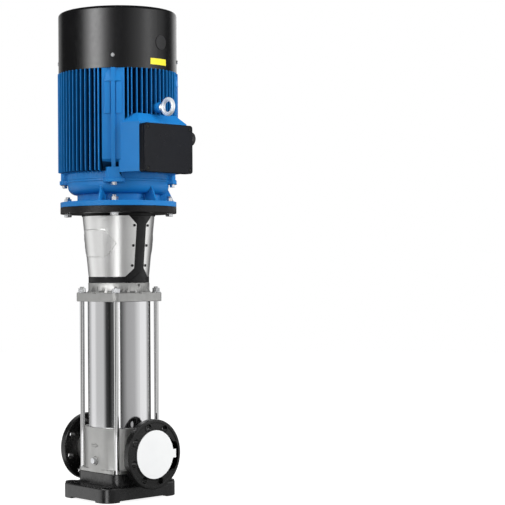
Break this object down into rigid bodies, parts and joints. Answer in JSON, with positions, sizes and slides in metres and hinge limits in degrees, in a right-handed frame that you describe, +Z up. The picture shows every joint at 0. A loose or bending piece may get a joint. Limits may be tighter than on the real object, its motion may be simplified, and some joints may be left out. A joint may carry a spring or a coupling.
{
  "type": "vertical multistage pump",
  "caption": "Vertical multistage centrifugal pump with in-line flanged ports, tie rods, coupling stool and a finned electric motor on top.",
  "frame": {"origin": "on the shaft axis at the underside of the base casting", "axes": "+Z up along the shaft, +X out of the outlet port, -X out of the inlet port"},
  "size_m": [0.4964, 0.4168, 1.657],
  "materials": {
    "base_paint": "gloss black enamel on cast iron",
    "chamber_steel": "bead-blasted stainless casting",
    "sleeve_steel": "polished stainless tube",
    "rod_steel": "bright drawn bar",
    "bright_zinc": "bright zinc plate",
    "dark_screw": "dark oxide",
    "flange_paint": "gloss black enamel",
    "stool_paint": "satin dark grey enamel on cast iron",
    "guard_sheet": "brushed stainless sheet",
    "motor_paint": "gloss blue enamel",
    "cover_paint": "gloss black enamel on pressed sheet",
    "box_paint": "satin black enamel",
    "white_film": "plain white stick-on cover",
    "black_plastic": "moulded black plastic",
    "seal_rubber": "moulded rubber",
    "stage_steel": "pressed stainless sheet",
    "bush_bronze": "turned bearing bronze",
    "seal_carbon": "lapped carbon",
    "shaft_steel": "ground bar",
    "coupling_iron": "machined casting",
    "core_steel": "stacked laminations",
    "winding_copper": "varnished winding",
    "bearing_steel": "ground rings"
  },
  "bodies": {
    "pump": {"base_plate": "base_paint", "bearing_outer_rings": "bearing_steel", "clamp_ring": "stage_steel", "coupling_guard_front": "guard_sheet", "coupling_guard_rear": "guard_sheet", "cover_plug": "black_plastic", "cover_screws": "bright_zinc", "drain_plug": "bright_zinc", "drive_end_shield": "motor_paint", "entry_plug": "black_plastic", "fan_cover": "cover_paint", "flange_bolts": "bright_zinc", "flange_nuts": "bright_zinc", "guard_screws": "dark_screw", "lid_screws": "bright_zinc", "lifting_eye": "bright_zinc", "motor_frame": "motor_paint", "motor_stool": "stool_paint", "outer_sleeve": "sleeve_steel", "port_covers": "white_film", "pump_chamber": "chamber_steel", "pump_head": "chamber_steel", "rear_end_shield": "motor_paint", "seal_carrier": "chamber_steel", "seal_seat": "seal_carbon", "shield_bolts": "bright_zinc", "sleeve_o_rings": "seal_rubber", "stage_bushes": "bush_bronze", "stage_chamber_1": "stage_steel", "stage_chamber_2": "stage_steel", "stage_chamber_3": "stage_steel", "stage_chamber_4": "stage_steel", "stage_chamber_5": "stage_steel", "stator_core": "core_steel", "stator_winding": "winding_copper", "stool_screws": "dark_screw", "terminal_board": "black_plastic", "terminal_box": "box_paint", "terminal_box_lid": "box_paint", "tie_rod_nuts": "bright_zinc", "tie_rod_washers": "bright_zinc", "tie_rods": "rod_steel", "vent_plug": "bright_zinc"},
    "rotor": {"pump_shaft": "shaft_steel", "seal_ring": "seal_carbon", "coupling_half_left": "coupling_iron", "coupling_half_right": "coupling_iron", "coupling_bolts": "dark_screw", "motor_shaft": "shaft_steel", "rotor_core": "core_steel", "bearing_inner_rings": "bearing_steel", "fan": "black_plastic", "impeller_1": "stage_steel", "impeller_2": "stage_steel", "impeller_3": "stage_steel", "impeller_4": "stage_steel", "impeller_5": "stage_steel"},
    "inlet_flange_ring": {"inlet_flange": "flange_paint"},
    "outlet_flange_ring": {"outlet_flange": "flange_paint"}
  },
  "joints": [
    {"name": "rotor_spin", "type": "hinge", "parent": "pump", "child": "rotor", "pos_m": [0, 0, 0.5], "axis": [0, 0, 1], "continuous": true},
    {"name": "inlet_flange_turn", "type": "hinge", "parent": "pump", "child": "inlet_flange_ring", "pos_m": [-0.17, 0, 0.158], "axis": [-1, 0, 0], "continuous": true},
    {"name": "outlet_flange_turn", "type": "hinge", "parent": "pump", "child": "outlet_flange_ring", "pos_m": [0.17, 0, 0.158], "axis": [1, 0, 0], "continuous": true}
  ]
}
